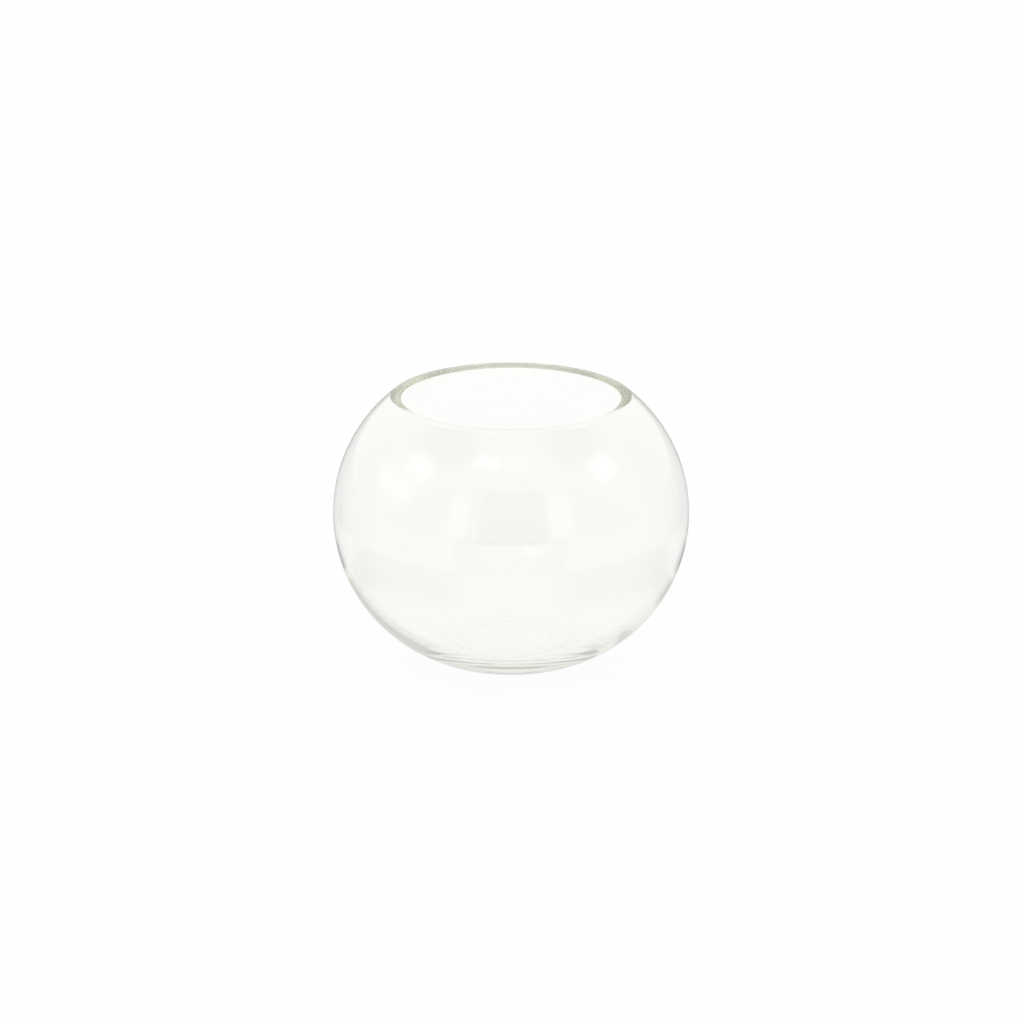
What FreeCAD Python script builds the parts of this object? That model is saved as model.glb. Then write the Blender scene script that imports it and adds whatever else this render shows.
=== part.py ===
"""Rose bowl: one blown wall of clear glass, drawn as a half profile and revolved.

Lengths are in millimetres. The frame's origin is the centre of the ring that the
bowl stands on, with +Z up through the mouth.
"""
import FreeCAD, Part
import math
import os

import Sketcher
from FreeCAD import Vector

SIZES = {
    # Outside, from the table up. The round bottom is pressed flat to stand on.
    "foot_flattening": 2.0,
    "foot_edge_radius": 6.0,
    "foot_ring_width": 7.0,
    "belly_diameter": 152.0,
    "belly_height": 64.0,
    "overall_height": 116.0,
    # Mouth, cut across the wall and softened in the flame.
    "mouth_diameter": 93.0,
    "lip_land_width": 2.0,
    "lip_outer_radius": 3.0,
    "lip_inner_radius": 0.8,
    # Thickness of the glass at the belly, and of the floor down to the table.
    "wall_thickness": 3.5,
    "floor_height": 7.0,
    # Inside, the round bottom settles into a level floor, much as the outside does.
    "floor_flattening": 3.0,
    "floor_edge_radius": 25.0,
    # Shallow hollow pushed up inside the foot ring.
    "punt_depth": 0.6,
}

NODE = "glass_bowl"
# The numbers by which a sketch knows an arc's points and its own two axes.
START, END, CENTRE = range(1, 4)
HORIZONTAL_AXIS, VERTICAL_AXIS = range(-1, -3, -1)
ORIGIN = (HORIZONTAL_AXIS, START)


def make_sheet(doc):
    """Every driving size in its own cell, with its name beside it."""
    sheet = doc.addObject("Spreadsheet::Sheet", "Sizes")
    for row, (name, value) in enumerate(SIZES.items(), start=1):
        sheet.set(f"A{row}", name)
        sheet.set(f"B{row}", str(value))
        sheet.setAlias(f"B{row}", name)
    doc.recompute()
    return sheet


def radius_to_reach(span, rise, end_radius):
    """Radius of an arc that leaves the belly upright and blends into an end arc.

    The belly arc's centre lies level with the belly. The end arc has end_radius,
    and its centre lies span further in than the belly and rise above or below it.
    A positive end_radius curves the same way as the belly arc, a negative one
    turns against it.
    """
    return (span**2 + rise**2 - end_radius**2) / (2 * (span - end_radius))


def reach_to_edge(haunch_radius, depth, edge_radius):
    """How far out from a haunch arc's centre the arc that ends it has its own.

    The edge arc lies inside the haunch arc, and its lowest point is depth below
    the haunch arc's centre.
    """
    return math.sqrt((haunch_radius - edge_radius)**2 - (depth - edge_radius)**2)


class Profile:
    """The half profile of the wall: x is the radius, y the height over the table."""

    def __init__(self, sketch):
        self.sketch = sketch
        self.index = {}

    def arc(self, name, centre, radius, start_angle, end_angle):
        """An arc that runs anticlockwise from start_angle to end_angle."""
        circle = Part.Circle(Vector(*centre), Vector(0, 0, 1), radius)
        shape = Part.ArcOfCircle(circle, start_angle, end_angle)
        self.index[name] = self.sketch.addGeometry(shape, False)

    def line(self, name, start, end):
        shape = Part.LineSegment(Vector(*start), Vector(*end))
        self.index[name] = self.sketch.addGeometry(shape, False)

    def flat(self, places):
        """Curve numbers and point numbers, in the order that a constraint takes them."""
        numbers = []
        for place in places:
            name, *point = place if isinstance(place, tuple) else (place,)
            numbers += [self.index.get(name, name), *point]
        return numbers

    def add(self, kind, *places):
        """A constraint between whole curves or their (name, point) places."""
        return self.sketch.addConstraint(Sketcher.Constraint(kind, *self.flat(places)))

    def size(self, name, expression, kind, *places):
        """A dimension that follows the sheet."""
        value = self.sketch.evalExpression(expression)
        dimension = Sketcher.Constraint(kind, *self.flat(places), value)
        self.sketch.renameConstraint(self.sketch.addConstraint(dimension), name)
        self.sketch.setExpression(f"Constraints.{name}", expression)


def draw_outside(profile, size):
    """Foot, haunch and shoulder, each blending into the next."""
    belly = size["belly_diameter"] / 2
    belly_height = size["belly_height"]
    foot_edge = size["foot_edge_radius"]
    lip_edge = size["lip_outer_radius"]
    lip_x = size["mouth_diameter"] / 2 + size["lip_inner_radius"] + size["lip_land_width"]
    lip_y = size["overall_height"] - lip_edge

    haunch = belly_height + size["foot_flattening"]
    haunch_x = belly - haunch
    foot = haunch_x + reach_to_edge(haunch, belly_height, foot_edge)
    haunch_angle = math.atan2(foot_edge - belly_height, foot - haunch_x)
    profile.arc("foot_edge", (foot, foot_edge), foot_edge, -math.pi / 2, haunch_angle)
    profile.arc("haunch", (haunch_x, belly_height), haunch, haunch_angle, 0)

    punt = foot - size["foot_ring_width"]
    dome = (punt**2 + size["punt_depth"]**2) / (2 * size["punt_depth"])
    dome_edge = math.acos(punt / dome)
    profile.arc("punt", (0, size["punt_depth"] - dome), dome, dome_edge, math.pi / 2)
    profile.line("foot_ring", (punt, 0), (foot, 0))

    shoulder = radius_to_reach(belly - lip_x, lip_y - belly_height, lip_edge)
    shoulder_x = belly - shoulder
    shoulder_angle = math.atan2(lip_y - belly_height, lip_x - shoulder_x)
    profile.arc("shoulder", (shoulder_x, belly_height), shoulder, 0, shoulder_angle)
    profile.arc("lip_outside", (lip_x, lip_y), lip_edge, shoulder_angle, math.pi / 2)


def draw_inside(profile, size):
    """Lip, inner shoulder, inner haunch and floor of the cavity."""
    belly = size["belly_diameter"] / 2 - size["wall_thickness"]
    belly_height = size["belly_height"]
    top = size["overall_height"]
    lip_edge = size["lip_inner_radius"]
    lip_x = size["mouth_diameter"] / 2 + lip_edge
    lip_y = top - lip_edge
    floor_y = size["floor_height"]
    depth = belly_height - floor_y

    profile.line("lip_land", (lip_x + size["lip_land_width"], top), (lip_x, top))
    shoulder = radius_to_reach(belly - lip_x, lip_y - belly_height, -lip_edge)
    shoulder_x = belly - shoulder
    shoulder_angle = math.atan2(lip_y - belly_height, lip_x - shoulder_x)
    lip_end = math.pi + shoulder_angle
    profile.arc("lip_inside", (lip_x, lip_y), lip_edge, math.pi / 2, lip_end)
    profile.arc("inner_shoulder", (shoulder_x, belly_height), shoulder, 0, shoulder_angle)

    floor_edge = size["floor_edge_radius"]
    haunch = depth + size["floor_flattening"]
    haunch_x = belly - haunch
    floor_x = haunch_x + reach_to_edge(haunch, depth, floor_edge)
    floor_edge_y = floor_y + floor_edge
    floor_angle = math.atan2(floor_edge_y - belly_height, floor_x - haunch_x)
    profile.arc("inner_haunch", (haunch_x, belly_height), haunch, floor_angle, 0)
    profile.arc("floor_edge", (floor_x, floor_edge_y), floor_edge, -math.pi / 2, floor_angle)
    profile.line("floor", (floor_x, floor_y), (0, floor_y))
    profile.line("axis_gap", (0, floor_y), (0, size["punt_depth"]))


def join_profile(profile):
    """Close the loop: corners where the hand meets one, tangents everywhere else."""
    profile.add("Coincident", ("punt", START), ("foot_ring", START))
    profile.add("Tangent", ("foot_ring", END), ("foot_edge", START))
    profile.add("Tangent", ("foot_edge", END), ("haunch", START))
    profile.add("Coincident", ("haunch", END), ("shoulder", START))
    profile.add("Tangent", ("shoulder", END), ("lip_outside", START))
    profile.add("Tangent", ("lip_outside", END), ("lip_land", START))
    profile.add("Tangent", ("lip_land", END), ("lip_inside", START))
    profile.add("Tangent", ("lip_inside", END), ("inner_shoulder", END))
    profile.add("Coincident", ("inner_shoulder", START), ("inner_haunch", END))
    profile.add("Tangent", ("inner_haunch", START), ("floor_edge", END))
    profile.add("Tangent", ("floor_edge", START), ("floor", START))
    profile.add("Coincident", ("floor", END), ("axis_gap", START))
    profile.add("Coincident", ("axis_gap", END), ("punt", END))


def place_profile(profile):
    """Levels and axes: the four belly arcs share the belly's height."""
    for name in ("haunch", "shoulder"):
        profile.add("Horizontal", (name, CENTRE), ("shoulder", START))
    for name in ("inner_shoulder", "inner_haunch"):
        profile.add("Horizontal", (name, CENTRE), ("inner_shoulder", START))
    profile.add("Horizontal", ("inner_shoulder", START), ("shoulder", START))
    profile.add("PointOnObject", ("punt", CENTRE), VERTICAL_AXIS)
    profile.add("PointOnObject", ("punt", END), VERTICAL_AXIS)
    profile.add("PointOnObject", ("floor", END), VERTICAL_AXIS)
    profile.add("PointOnObject", ("foot_ring", START), HORIZONTAL_AXIS)
    profile.add("PointOnObject", ("foot_ring", END), HORIZONTAL_AXIS)
    profile.add("Horizontal", "lip_land")
    profile.add("Horizontal", "floor")


def size_profile(profile):
    """One dimension for each size in the sheet."""
    across = (
        ("belly_reach", "Sizes.belly_diameter / 2", ("shoulder", START)),
        ("mouth_reach", "Sizes.mouth_diameter / 2 + Sizes.lip_inner_radius", ("lip_inside", CENTRE)),
    )
    for name, expression, place in across:
        profile.size(name, expression, "DistanceX", ORIGIN, place)
    up = (
        ("punt_rise", "Sizes.punt_depth", ("punt", END)),
        ("floor_rise", "Sizes.floor_height", ("floor", END)),
        ("belly_rise", "Sizes.belly_height", ("shoulder", START)),
        ("lip_rise", "Sizes.overall_height", ("lip_land", START)),
    )
    for name, expression, place in up:
        profile.size(name, expression, "DistanceY", ORIGIN, place)
    widths = (
        ("wall", "Sizes.wall_thickness", ("inner_shoulder", START), ("shoulder", START)),
        ("land", "Sizes.lip_land_width", ("lip_land", END), ("lip_land", START)),
        ("ring", "Sizes.foot_ring_width", ("foot_ring", START), ("foot_ring", END)),
    )
    for name, expression, inner, outer in widths:
        profile.size(name, expression, "DistanceX", inner, outer)
    inner_haunch = "Sizes.belly_height - Sizes.floor_height + Sizes.floor_flattening"
    radii = (
        ("foot_edge", "Sizes.foot_edge_radius"),
        ("haunch", "Sizes.belly_height + Sizes.foot_flattening"),
        ("lip_outside", "Sizes.lip_outer_radius"),
        ("lip_inside", "Sizes.lip_inner_radius"),
        ("inner_haunch", inner_haunch),
        ("floor_edge", "Sizes.floor_edge_radius"),
    )
    for name, expression in radii:
        profile.size(f"{name}_round", expression, "Radius", name)


def make_bowl(doc):
    """The body: the profile on the XZ plane, turned once about the upright axis."""
    body = doc.addObject("PartDesign::Body", NODE)
    body.Label = NODE
    planes = {plane.Role: plane for plane in body.Origin.OriginFeatures}
    sketch = body.newObject("Sketcher::SketchObject", "wall_profile")
    sketch.AttachmentSupport = [(planes["XZ_Plane"], "")]
    sketch.MapMode = "FlatFace"
    profile = Profile(sketch)
    draw_outside(profile, SIZES)
    draw_inside(profile, SIZES)
    join_profile(profile)
    place_profile(profile)
    size_profile(profile)
    doc.recompute()

    turned = body.newObject("PartDesign::Revolution", "turned_wall")
    turned.Profile = sketch
    turned.ReferenceAxis = (sketch, ["V_Axis"])
    turned.Angle = 360
    body.Tip = turned
    body.Placement = FreeCAD.Placement()
    doc.recompute()
    return body, sketch


def check(doc, body, sketch):
    """Stop before anything is written if a feature or the solid is unsound."""
    for thing in doc.Objects:
        if "Invalid" in thing.State or "Error" in thing.State:
            raise RuntimeError(f"{thing.Name}: {thing.State}")
    if not sketch.FullyConstrained:
        raise RuntimeError("the wall profile isn't fully constrained")
    shape = body.Shape
    if shape.isNull() or not shape.isValid() or len(shape.Solids) != 1:
        raise RuntimeError("the bowl isn't one valid solid")


def report(body, sketch):
    """Print the solid's volume and box, and the radii that the sizes imply."""
    box = body.Shape.BoundBox
    print(f"{body.Label}: {body.Shape.Volume / 1000:.1f} cm3,",
          f"{box.XLength:.2f} x {box.YLength:.2f} x {box.ZLength:.2f} mm,",
          f"from z {box.ZMin:.2f} to {box.ZMax:.2f}")
    for position, curve in enumerate(sketch.Geometry):
        if isinstance(curve, Part.ArcOfCircle):
            print(f"  arc {position}: radius {curve.Radius:.2f}")


def main():
    doc = FreeCAD.newDocument("rose_bowl")
    make_sheet(doc)
    body, sketch = make_bowl(doc)
    check(doc, body, sketch)
    report(body, sketch)
    os.makedirs("parts", exist_ok=True)
    body.Shape.exportStep(f"parts/{body.Label}.step")


main()
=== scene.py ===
# %% [markdown]
# # A rose bowl vase in blown clear glass
# This lesson dresses one imported CAD part. The part is a round, low glass vase with an
# open mouth. It has a single piece, so the whole lesson is about three things: drawing
# one clean profile and spinning it, a glass material that behaves like real glass, and
# a studio that lets clear glass be seen against white.
# The CAD model is the fixed frame. It is loaded first, before anything is added.

import math

import bpy
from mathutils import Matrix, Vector


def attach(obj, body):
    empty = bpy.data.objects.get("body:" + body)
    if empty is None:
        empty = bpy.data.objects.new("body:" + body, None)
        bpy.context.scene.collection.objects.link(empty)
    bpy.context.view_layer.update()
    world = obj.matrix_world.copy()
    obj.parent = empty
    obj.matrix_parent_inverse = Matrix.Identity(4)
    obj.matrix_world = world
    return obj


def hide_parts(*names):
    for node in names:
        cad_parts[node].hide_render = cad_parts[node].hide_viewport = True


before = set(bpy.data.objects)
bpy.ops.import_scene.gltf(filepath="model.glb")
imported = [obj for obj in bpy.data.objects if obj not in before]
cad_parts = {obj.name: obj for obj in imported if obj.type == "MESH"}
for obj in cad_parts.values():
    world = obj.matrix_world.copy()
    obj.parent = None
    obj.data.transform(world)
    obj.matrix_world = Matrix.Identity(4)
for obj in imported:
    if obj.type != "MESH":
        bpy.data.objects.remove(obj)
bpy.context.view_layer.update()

# %% [markdown]
# ## The camera
# The photograph looks down at the bowl by 19 degrees from well back, so the mouth is a
# flat ellipse and the sides hardly converge. The camera could be placed by eye, but a
# bowl is round, so its outline fixes the view: the height of the mouth's ellipse gives
# the tilt, and the width of the belly gives the magnification. The camera looks at the
# middle of the belly from 1.3 metres away. The lens follows from the magnification.

# %% Place the camera
MM = 0.001
PICTURE_SIDE_PX = 1024
SENSOR_WIDTH_MM = 36.0
CAMERA_TILT = math.radians(19.0)
CAMERA_DISTANCE = 1.3
PIXELS_PER_MM = 2.338
BOWL_CENTRE_PX = (511.1, 511.8)
BELLY_HEIGHT = 64.0

to_camera = Vector((0, -math.cos(CAMERA_TILT), math.sin(CAMERA_TILT)))
aim = Vector((0, 0, BELLY_HEIGHT * MM))
bpy.ops.object.camera_add(
    location=aim + to_camera * CAMERA_DISTANCE,
    rotation=(math.pi / 2 - CAMERA_TILT, 0, 0),
)
camera = bpy.context.object
camera.name = "photograph_view"
camera.data.sensor_width = SENSOR_WIDTH_MM
pixels_across_sensor = PIXELS_PER_MM / MM * CAMERA_DISTANCE
camera.data.lens = pixels_across_sensor * SENSOR_WIDTH_MM / PICTURE_SIDE_PX
middle_px = PICTURE_SIDE_PX / 2
camera.data.shift_x = (middle_px - BOWL_CENTRE_PX[0]) / PICTURE_SIDE_PX
camera.data.shift_y = (BOWL_CENTRE_PX[1] - middle_px) / PICTURE_SIDE_PX
bpy.context.scene.camera = camera
print(f"lens {camera.data.lens:.1f} mm, tilt {math.degrees(CAMERA_TILT):.1f} degrees")

# %% [markdown]
# ## The wall's profile
# A glassblower turns the bowl on a pipe, so every cut through its axis shows the same
# wall: a rounded belly 152 mm across, a shoulder that closes to a 93 mm mouth, a lip cut
# across the wall and melted round in the flame, and a thick foot pressed flat with a
# shallow hollow under it. A sphere with a hole would miss the two things that the eye
# reads in clear glass, the thickness of the lip and the lens of the foot.
# So the cut is drawn as a chain of arcs that run into each other without a corner. The
# lengths are the CAD model's own, in millimetres.

# %% Sizes of the wall
BELLY = 152.0 / 2
FOOT_FLATTENING = 2.0
FOOT_EDGE = 6.0
FOOT_RING = 7.0
TOP = 116.0
MOUTH = 93.0 / 2
LIP_LAND = 2.0
LIP_OUTER = 3.0
LIP_INNER = 0.8
WALL = 3.5
FLOOR = 7.0
PUNT_DEPTH = 0.6
FLOOR_FLATTENING = 3.0
FLOOR_EDGE = 25.0


def radius_to_reach(span, rise, end_radius):
    """Radius of an arc that leaves the belly upright and runs into an end arc."""
    return (span**2 + rise**2 - end_radius**2) / (2 * (span - end_radius))


# %% [markdown]
# ## From sizes to arcs
# Each arc needs a centre, a radius and the two angles it runs between. The haunch arc
# of the outside is set so that it would reach a little under the table, and the foot's
# small edge arc brings it back to the table. The inside has its own arcs, which is why
# the glass grows thicker towards the foot.

# %% Work out the arcs
haunch_radius = BELLY_HEIGHT + FOOT_FLATTENING
haunch_x = BELLY - haunch_radius
foot_x = haunch_x + math.sqrt((haunch_radius - FOOT_EDGE)**2 - (BELLY_HEIGHT - FOOT_EDGE)**2)
haunch_angle = math.atan2(FOOT_EDGE - BELLY_HEIGHT, foot_x - haunch_x)
punt_x = foot_x - FOOT_RING
punt_radius = (punt_x**2 + PUNT_DEPTH**2) / (2 * PUNT_DEPTH)

lip_x = MOUTH + LIP_INNER + LIP_LAND
lip_y = TOP - LIP_OUTER
shoulder_radius = radius_to_reach(BELLY - lip_x, lip_y - BELLY_HEIGHT, LIP_OUTER)
shoulder_x = BELLY - shoulder_radius
shoulder_angle = math.atan2(lip_y - BELLY_HEIGHT, lip_x - shoulder_x)

inner_belly = BELLY - WALL
inner_lip_x = MOUTH + LIP_INNER
inner_lip_y = TOP - LIP_INNER
inner_shoulder_radius = radius_to_reach(
    inner_belly - inner_lip_x, inner_lip_y - BELLY_HEIGHT, -LIP_INNER
)
inner_shoulder_x = inner_belly - inner_shoulder_radius
inner_shoulder_angle = math.atan2(inner_lip_y - BELLY_HEIGHT, inner_lip_x - inner_shoulder_x)
inner_haunch_radius = BELLY_HEIGHT - FLOOR + FLOOR_FLATTENING
inner_haunch_x = inner_belly - inner_haunch_radius
floor_edge_y = FLOOR + FLOOR_EDGE
floor_x = inner_haunch_x + math.sqrt(
    (inner_haunch_radius - FLOOR_EDGE)**2 - (BELLY_HEIGHT - floor_edge_y)**2
)
floor_angle = math.atan2(floor_edge_y - BELLY_HEIGHT, floor_x - inner_haunch_x)

QUARTER = math.pi / 2
# Each run is (centre x, centre height, start angle, end angle, steps), from the
# middle of the hollow underneath, round the outside and back down to the inside floor.
ARCS_UNDER = [(0, PUNT_DEPTH - punt_radius, QUARTER, math.acos(punt_x / punt_radius), 10)]
ARCS_OUTSIDE = [
    (foot_x, FOOT_EDGE, -QUARTER, haunch_angle, 6),
    (haunch_x, BELLY_HEIGHT, haunch_angle, 0, 74),
    (shoulder_x, BELLY_HEIGHT, 0, shoulder_angle, 48),
    (lip_x, lip_y, shoulder_angle, QUARTER, 14),
]
ARCS_INSIDE = [
    (inner_lip_x, inner_lip_y, QUARTER, math.pi + inner_shoulder_angle, 14),
    (inner_shoulder_x, BELLY_HEIGHT, inner_shoulder_angle, 0, 54),
    (inner_haunch_x, BELLY_HEIGHT, 0, floor_angle, 72),
    (floor_x, floor_edge_y, floor_angle, -QUARTER, 16),
]
print(f"foot ring {2 * punt_x:.1f} to {2 * foot_x:.1f} mm across,",
      f"wall {WALL} mm at the belly and {FLOOR - PUNT_DEPTH:.1f} mm at the middle of the foot")

# %% [markdown]
# ## Drawing the profile by hand
# In the Blender window one would start from a plane, merge it to a single point, and
# draw with that point: spin it round an arc's centre to draw the arc, and extrude it to
# draw a straight run. A spin stays exact, whereas a bezier curve only comes close to an
# arc, and glass shows every small flat or bump of its profile as a bent reflection. The
# steps are about one degree on the large arcs and finer in millimetres at the lip.

# %% Draw the profile
def deselect_everything():
    """Nothing stays selected, so that the next operator acts on the new piece alone."""
    if bpy.context.object and bpy.context.object.mode == "EDIT":
        bpy.ops.object.mode_set(mode="OBJECT")
    bpy.ops.object.select_all(action="DESELECT")


def draw_arcs(arcs):
    """Spins the one selected point round each arc's centre in turn."""
    for centre_x, centre_y, start, end, steps in arcs:
        bpy.ops.mesh.spin(
            steps=steps,
            angle=end - start,
            center=(centre_x * MM, 0, centre_y * MM),
            axis=(0, 1, 0),
        )


def draw_level_run(length, steps):
    """Extrudes the one selected point outwards by length, in equal steps."""
    for _ in range(steps):
        move = {"value": (length / steps * MM, 0, 0)}
        bpy.ops.mesh.extrude_region_move(TRANSFORM_OT_translate=move)


deselect_everything()
# The plane may be of any size, because it is merged to its middle.
bpy.ops.mesh.primitive_plane_add(size=FLOOR * MM, location=(0, 0, 0))
bowl = bpy.context.object
bowl.name = "rose_bowl"
bpy.ops.object.mode_set(mode="EDIT")
bpy.ops.mesh.merge(type="CENTER")
bpy.ops.transform.translate(value=(0, 0, PUNT_DEPTH * MM))
draw_arcs(ARCS_UNDER)
draw_level_run(foot_x - punt_x, steps=4)
draw_arcs(ARCS_OUTSIDE)
draw_level_run(-LIP_LAND, steps=4)
draw_arcs(ARCS_INSIDE)
draw_level_run(-floor_x, steps=8)
bpy.ops.object.mode_set(mode="OBJECT")
last_point = next(point.co for point in bowl.data.vertices if point.select)
print(f"{len(bowl.data.vertices)} points, the last one {last_point.x / MM:.3f} mm from the axis",
      f"and {last_point.z / MM:.3f} mm over the table")

# %% [markdown]
# ## Turning the profile into a bowl
# The drawn line now does what the glassblower's pipe does: it is spun once round the
# upright axis. Spinning the whole closed cut in one go makes the outside, the lip and
# the inside one watertight wall, with no Solidify modifier to guess a thickness. 256
# steps keep the outline round even in a close view. The points that lie on the axis are
# spun into heaps, so doubles are merged and the two poles close.

# %% Spin the bowl
TURNS = 256
MERGE_DISTANCE = 0.001 * MM

bpy.ops.object.mode_set(mode="EDIT")
bpy.ops.mesh.select_all(action="SELECT")
bpy.ops.mesh.spin(steps=TURNS, angle=2 * math.pi, center=(0, 0, 0), axis=(0, 0, 1))
bpy.ops.mesh.select_all(action="SELECT")
bpy.ops.mesh.remove_doubles(threshold=MERGE_DISTANCE)
bpy.ops.mesh.normals_make_consistent(inside=False)
bpy.ops.object.mode_set(mode="OBJECT")
bpy.ops.object.shade_smooth()
triangles = sum(len(face.vertices) - 2 for face in bowl.data.polygons)
print(f"bowl: {triangles} triangles, {bowl.dimensions.x / MM:.2f} mm across,",
      f"{bowl.dimensions.z / MM:.2f} mm high")

# %% [markdown]
# ## Tools for materials
# Materials are node trees. A few small helpers keep the steps below readable: one turns
# a hex colour, as picked on a screen, into the linear numbers that shaders use, one adds
# a node with its settings and links, and the rest put the common sums in one line.

# %% Helpers for node trees
WHITE = "#FFFFFF"
SCREEN_GREY = "#808080"
# Light Path counts in whole numbers, so a ray is compared with the half below a count.
AT_LEAST_ONCE = 0.5
AT_LEAST_THRICE = 2.5


def linear(hex_colour):
    """An sRGB hex colour as linear red, green, blue and alpha."""
    channels = [int(hex_colour[start:start + 2], 16) / 255 for start in (1, 3, 5)]
    return [
        channel / 12.92 if channel <= 0.04045 else ((channel + 0.055) / 1.055)**2.4
        for channel in channels
    ] + [1.0]


def add_node(tree, kind, settings=None, **inputs):
    """Adds a node; settings go on the node, and each input takes a value or a link."""
    node = tree.nodes.new(kind)
    for name, value in (settings or {}).items():
        setattr(node, name, value)
    for name, value in inputs.items():
        key = int(name[1:]) if name[0] == "_" else name.replace("_", " ")
        socket = node.inputs[key]
        if isinstance(value, bpy.types.NodeSocket):
            tree.links.new(value, socket)
        else:
            socket.default_value = value
    return node


def empty_tree(owner):
    """The owner's node tree with nothing in it."""
    owner.use_nodes = True
    owner.node_tree.nodes.clear()
    return owner.node_tree


def calculate(tree, operation, first, second=0.0, third=0.0):
    """One sum or function of up to three numbers or sockets."""
    node = add_node(
        tree, "ShaderNodeMath", {"operation": operation}, _0=first, _1=second, _2=third,
    )
    return node.outputs["Value"]


def ramp(tree, value, low, high, at_low, at_high):
    """A soft step from at_low to at_high while the value goes from low to high."""
    node = add_node(
        tree, "ShaderNodeMapRange", {"interpolation_type": "SMOOTHSTEP"},
        Value=value, From_Min=low, From_Max=high, To_Min=at_low, To_Max=at_high,
    )
    return node.outputs["Result"]


def inside(tree, value, span, soft):
    """1 where the value lies in the span, fading out over soft at both ends."""
    low, high = span
    rise = ramp(tree, value, low - soft / 2, low + soft / 2, 0.0, 1.0)
    fall = ramp(tree, value, high - soft / 2, high + soft / 2, 1.0, 0.0)
    return calculate(tree, "MULTIPLY", rise, fall)


def add_patch(tree, level, place, patch):
    """The level, raised or lowered by the patch's gain where the place lies in it."""
    round_span, other_span, (round_soft, other_soft), gain = patch
    round_mask = inside(tree, place[0], round_span, round_soft)
    other_mask = inside(tree, place[1], other_span, other_soft)
    both = calculate(tree, "MULTIPLY", round_mask, other_mask)
    return calculate(tree, "MULTIPLY_ADD", both, gain, level)


def degrees_from_camera(tree, x, y):
    """How far round a place or direction lies, in degrees to the camera's right."""
    turn = calculate(tree, "ARCTAN2", x, calculate(tree, "MULTIPLY", y, -1.0))
    return calculate(tree, "DEGREES", turn)


def pick(tree, share, low, high):
    """low where the share is 0, high where it is 1."""
    node = add_node(tree, "ShaderNodeMix", {"data_type": "FLOAT"}, _0=share, _2=low, _3=high)
    return node.outputs[0]


# Picks a painted level by the ray's history, so that mirror images carry painted highlights and
# painted shade that no lamp casts.
def light_for_ray(tree, straight, off_outer, off_inner, from_within):
    """The light that a ray meets, by what the glass has done to it.

    straight: never mirrored. off_outer: mirrored by the wall's outer face. off_inner:
    mirrored by its inner face, before it crossed the bowl. from_within: mirrored later.
    """
    ray = add_node(tree, "ShaderNodeLightPath")
    mirrored = calculate(tree, "GREATER_THAN", ray.outputs["Glossy Depth"], AT_LEAST_ONCE)
    passes = ray.outputs["Transmission Depth"]
    entered = calculate(tree, "GREATER_THAN", passes, AT_LEAST_ONCE)
    crossed = calculate(tree, "GREATER_THAN", passes, AT_LEAST_THRICE)
    inner = pick(tree, crossed, off_inner, from_within)
    return pick(tree, mirrored, straight, pick(tree, entered, off_outer, inner))


print(f"a screen's mid grey is {linear(SCREEN_GREY)[0]:.3f} of white in linear light")

# %% [markdown]
# ## Blown soda-lime glass
# The bowl is clear soda-lime glass, blown and then melted smooth, so its surface is a
# liquid's, without scratches from any tool. Its colour is iron in the melt. Each pass
# through the thin wall takes a trace of blue and red, which the surface colour gives,
# and where light travels far inside the glass, as in the lip and the foot, a volume
# absorbs more on the way.
# What the surface does have is slight unevenness. Gathering and turning leaves faint
# cords, long ripples that run round the bowl, and the ring it stands on is dulled by
# years of being set down. The cords are drawn a few millimetres wide and a few
# thousandths of a millimetre high, and the dull ring follows the height over the table.

# %% Make the glass
GLASS_SURFACE = "#FEFFFD"
GLASS_DEPTH_COLOUR = "#EAEADC"
ABSORPTION_PER_METRE = 4.0
IOR_SODA_LIME = 1.52
CORD_SPACING = 9.0
CORD_STRETCH = 0.18
CORD_HEIGHT = 0.004
CORD_DETAIL = 1.0
CORD_FINE_SHARE = 0.4
SCUFF_HEIGHT = 0.35
SCUFF_ROUGHNESS = 0.22
SCUFF_GRAIN = 0.6
SCUFF_DETAIL = 3.0

glass = bpy.data.materials.new("soda_lime_glass_blown_clear")
tree = empty_tree(glass)
place = add_node(tree, "ShaderNodeTexCoord")
where = place.outputs["Object"]
ripple_place = add_node(
    tree, "ShaderNodeMapping", Vector=where, Scale=(CORD_STRETCH, CORD_STRETCH, 1.0)
)
ripple = add_node(
    tree, "ShaderNodeTexNoise",
    Vector=ripple_place.outputs["Vector"],
    Scale=1 / (CORD_SPACING * MM), Detail=CORD_DETAIL, Roughness=CORD_FINE_SHARE,
)
cords = add_node(
    tree, "ShaderNodeBump",
    Strength=1.0, Distance=CORD_HEIGHT * MM, Height=ripple.outputs["Fac"],
)
height = add_node(tree, "ShaderNodeSeparateXYZ", Vector=where)
near_table = ramp(tree, height.outputs["Z"], 0.0, SCUFF_HEIGHT * MM, SCUFF_ROUGHNESS, 0.0)
grain = add_node(
    tree, "ShaderNodeTexNoise",
    Vector=where, Scale=1 / (SCUFF_GRAIN * MM), Detail=SCUFF_DETAIL,
)
scuffs = calculate(tree, "MULTIPLY", near_table, grain.outputs["Fac"])
surface = add_node(
    tree, "ShaderNodeBsdfPrincipled",
    Base_Color=linear(GLASS_SURFACE), IOR=IOR_SODA_LIME, Transmission_Weight=1.0,
    Roughness=scuffs, Normal=cords.outputs["Normal"],
)
depth = add_node(
    tree, "ShaderNodeVolumeAbsorption",
    Color=linear(GLASS_DEPTH_COLOUR), Density=ABSORPTION_PER_METRE,
)
add_node(
    tree, "ShaderNodeOutputMaterial",
    Surface=surface.outputs["BSDF"], Volume=depth.outputs["Volume"],
)
bowl.data.materials.append(glass)
print(f"{glass.name}: {len(tree.nodes)} nodes, refractive index {IOR_SODA_LIME}")
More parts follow.
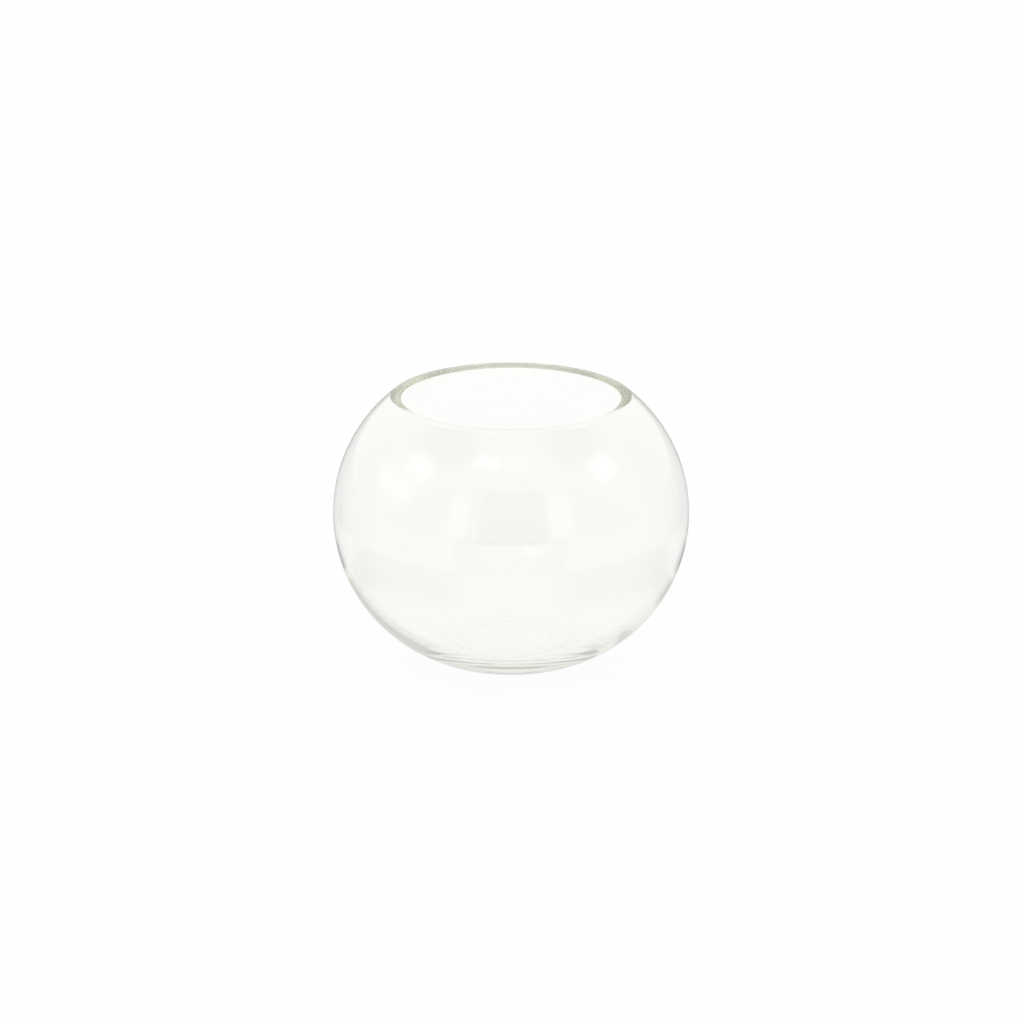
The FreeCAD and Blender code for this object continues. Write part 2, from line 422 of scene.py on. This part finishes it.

# %% [markdown]
# ## The table
# The bowl stands on a plain white light table. Clear glass shows what is behind it, so
# the table decides how the bowl looks. Seen directly or through the glass it is mostly
# its own white glow, and the rest is a matt white top that takes the bowl's soft shadow.
# In the bowl's mirror images the table's glow is painted, not lit. On the outer face it is
# painted dimmer, with painted shade darkest to the left and right of the bowl and a paler
# painted patch far in front. In the inner face's mirror images, which look down through the
# foot, it is painted white close to the bowl and dimmer further out.

# %% Lay the table
# The side is in metres, and the gap that keeps the faces apart is in millimetres.
TABLE_SIDE = 40.0
TABLE_GAP = 0.1
TABLE_WHITE = "#F7F7F6"
TABLE_ROUGHNESS = 0.9
TABLE_GLOW = 0.96
TABLE_PAINTED_REFLECTION_LEVEL = 0.75
# Round from the camera, either way, the sides pass into the back over these degrees.
BACK_FROM, BACK_TO = 110.0, 150.0
# Each painted patch of the mirrored table is its span in degrees round to the right of the
# camera, its span in millimetres out from the bowl's axis, how soft its edges are in
# both, and how much brighter than the table it is painted; a negative gain is painted shade.
TABLE_PAINTED_REFLECTION_PATCHES = [
    ((-50, 50), (250, 6000), (40, 60), 0.20),
    ((-100, -26), (115, 240), (24, 50), -0.70),
    ((26, 100), (115, 240), (24, 50), -0.74),
]
# In the inner face's mirror images the table is painted white up to here, and painted dim from
# there.
WHITE_TO, DIM_FROM = 200.0, 260.0
# How bright the table is painted behind the bowl, as the outer face mirrors it there: painted
# shade.
TABLE_PAINTED_BEHIND_LEVEL = 0.55

deselect_everything()
bpy.ops.mesh.primitive_plane_add(size=TABLE_SIDE, location=(0, 0, -TABLE_GAP * MM))
table = bpy.context.object
table.name = "light_table"
bpy.ops.object.transform_apply(location=True, rotation=False, scale=False)


def share_for_seen_rays(tree, share):
    """A socket that is share for rays of sight, straight, mirrored or through glass."""
    ray = add_node(tree, "ShaderNodeLightPath")
    direct = calculate(
        tree, "MAXIMUM", ray.outputs["Is Camera Ray"], ray.outputs["Is Glossy Ray"]
    )
    seen = calculate(tree, "MAXIMUM", direct, ray.outputs["Is Transmission Ray"])
    return calculate(tree, "MULTIPLY", seen, share)


table_top = bpy.data.materials.new("opal_acrylic_light_table")
tree = empty_tree(table_top)
matt = add_node(
    tree, "ShaderNodeBsdfPrincipled",
    Base_Color=linear(TABLE_WHITE), Roughness=TABLE_ROUGHNESS, Specular_IOR_Level=0.0,
)
spot = add_node(tree, "ShaderNodeTexCoord").outputs["Object"]
spot_parts = add_node(tree, "ShaderNodeSeparateXYZ", Vector=spot)
spot_round = degrees_from_camera(tree, spot_parts.outputs["X"], spot_parts.outputs["Y"])
reach = add_node(tree, "ShaderNodeVectorMath", {"operation": "LENGTH"}, Vector=spot)
spot_out = calculate(tree, "DIVIDE", reach.outputs["Value"], MM)
# The table's mirror images get painted shade and a painted pale patch, set by ray kind and
# place, not by any lamp.
painted_table_reflection = TABLE_PAINTED_REFLECTION_LEVEL
for patch in TABLE_PAINTED_REFLECTION_PATCHES:
    painted_table_reflection = add_patch(tree, painted_table_reflection, (spot_round, spot_out), patch)
painted_table_off_inner = ramp(tree, spot_out, WHITE_TO, DIM_FROM, 1.0, TABLE_PAINTED_REFLECTION_LEVEL)
behind = ramp(tree, calculate(tree, "ABSOLUTE", spot_round), BACK_FROM, BACK_TO, 0.0, 1.0)
painted_table_off_outer = pick(tree, behind, painted_table_reflection, TABLE_PAINTED_BEHIND_LEVEL)
painted_table_off_inner = pick(tree, behind, painted_table_off_inner, 1.0)
glow = add_node(
    tree, "ShaderNodeEmission",
    Color=linear(WHITE),
    Strength=light_for_ray(tree, 1.0, painted_table_off_outer, painted_table_off_inner, 1.0),
)
mix = add_node(
    tree, "ShaderNodeMixShader",
    _0=share_for_seen_rays(tree, TABLE_GLOW),
    _1=matt.outputs["BSDF"], _2=glow.outputs["Emission"],
)
add_node(tree, "ShaderNodeOutputMaterial", Surface=mix.outputs["Shader"])
table.data.materials.append(table_top)
print(f"{table.name}: {table.dimensions.x:.0f} m wide, top {TABLE_GAP} mm under the foot")

# %% [markdown]
# ## The studio around it
# A clear bowl in an all-white room would vanish: every ray, bent or mirrored, would end
# on the same white. What draws it is a painted reflection: a dimmer room around the camera,
# painted into the world only for rays that the glass mirrors back, and lighting nothing.
# Rays that were never mirrored always meet the white backdrop, so the bowl is clear from every
# side.
# The mirrored room is a painted mid grey studio: painted highlights of softboxes high on
# both sides and overhead and of a pale panel on either side of the lens, and painted shade
# for dark gaps, the largest round the lens. Each is a soft-edged patch of the world, placed
# by two angles as a photographer would say it: so far round from the camera, and so far up.
# Behind the bowl the painted room is nearly white again.

# %% Build the room
ROOM_LIGHT = 1.0
# The painted room's level in the glass's mirror images, and behind the bowl.
ROOM_PAINTED_REFLECTION_LEVEL = 0.71
ROOM_PAINTED_BEHIND_LEVEL = 0.9
# A ray mirrored inside the wall after it crossed the bowl meets painted shade: a room
# painted this grey on the camera's side that turns white, over this span of the direction's
# depth.
PAINTED_WITHIN_LEVEL = 0.8
WITHIN_FROM, WITHIN_TO = -0.4, 0.6
# Each painted patch of the room, highlight or shade, is given as on the table, with degrees up
# in second place.
ROOM_PAINTED_REFLECTION_PATCHES = [
    ((-21, 24), (0, 39), (8, 8), -0.36),
    ((-34, 34), (0, 2.5), (12, 2), -0.30),
    ((26, 41), (3, 34), (6, 12), 0.42),
    ((-42, -30), (3, 32), (6, 12), 0.42),
    ((72, 92), (30, 42), (12, 12), 1.00),
    ((-94, -70), (31, 42), (12, 12), 0.80),
    ((-110, -74), (12, 25), (14, 14), 0.40),
    ((-41, -14), (56, 64), (8, 7), 0.80),
    ((-10, 20), (56, 66), (8, 8), 0.25),
    ((-112, -50), (44, 70), (26, 20), -0.45),
    ((50, 112), (46, 70), (26, 20), -0.45),
]

world = bpy.data.worlds.new("white_studio")
bpy.context.scene.world = world
tree = empty_tree(world)
view = add_node(tree, "ShaderNodeTexCoord")
direction = add_node(tree, "ShaderNodeSeparateXYZ", Vector=view.outputs["Generated"])
degrees_round = degrees_from_camera(tree, direction.outputs["X"], direction.outputs["Y"])
degrees_up = calculate(tree, "DEGREES", calculate(tree, "ARCSINE", direction.outputs["Z"]))
# Only mirrored rays see these painted highlights and painted shade; the light on the bowl stays
# even.
painted_room_reflection = ROOM_PAINTED_REFLECTION_LEVEL
for patch in ROOM_PAINTED_REFLECTION_PATCHES:
    painted_room_reflection = add_patch(tree, painted_room_reflection, (degrees_round, degrees_up), patch)
behind = ramp(tree, calculate(tree, "ABSOLUTE", degrees_round), BACK_FROM, BACK_TO, 0.0, 1.0)
painted_room_off_outer = pick(tree, behind, painted_room_reflection, ROOM_PAINTED_BEHIND_LEVEL)
painted_room_off_inner = pick(tree, behind, painted_room_reflection, 1.0)
painted_room_within = ramp(tree, direction.outputs["Y"], WITHIN_FROM, WITHIN_TO, PAINTED_WITHIN_LEVEL, 1.0)
room = add_node(
    tree, "ShaderNodeBackground",
    Color=linear(WHITE),
    Strength=light_for_ray(tree, ROOM_LIGHT, painted_room_off_outer, painted_room_off_inner, painted_room_within),
)
add_node(tree, "ShaderNodeOutputWorld", Surface=room.outputs["Background"])
print(f"{world.name}: {len(ROOM_PAINTED_REFLECTION_PATCHES)} patches in a room {ROOM_PAINTED_REFLECTION_LEVEL} as bright as white")

# %% [markdown]
# ## Light enough for glass
# A ray that enters the wall can be mirrored inside it many times before it leaves at
# the lip or the foot. With Blender's usual limit it is cut off and turns black, so the
# limits are raised.

# %% Let light travel
BOUNCES = 400
cycles = bpy.context.scene.cycles
cycles.max_bounces = BOUNCES
cycles.transmission_bounces = BOUNCES
cycles.glossy_bounces = BOUNCES
bpy.context.scene.view_settings.view_transform = "Standard"
print(f"a ray may bend or be mirrored {cycles.max_bounces} times in all")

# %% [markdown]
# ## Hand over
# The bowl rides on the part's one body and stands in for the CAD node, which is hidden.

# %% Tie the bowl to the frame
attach(bowl, "root")
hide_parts("glass_bowl")
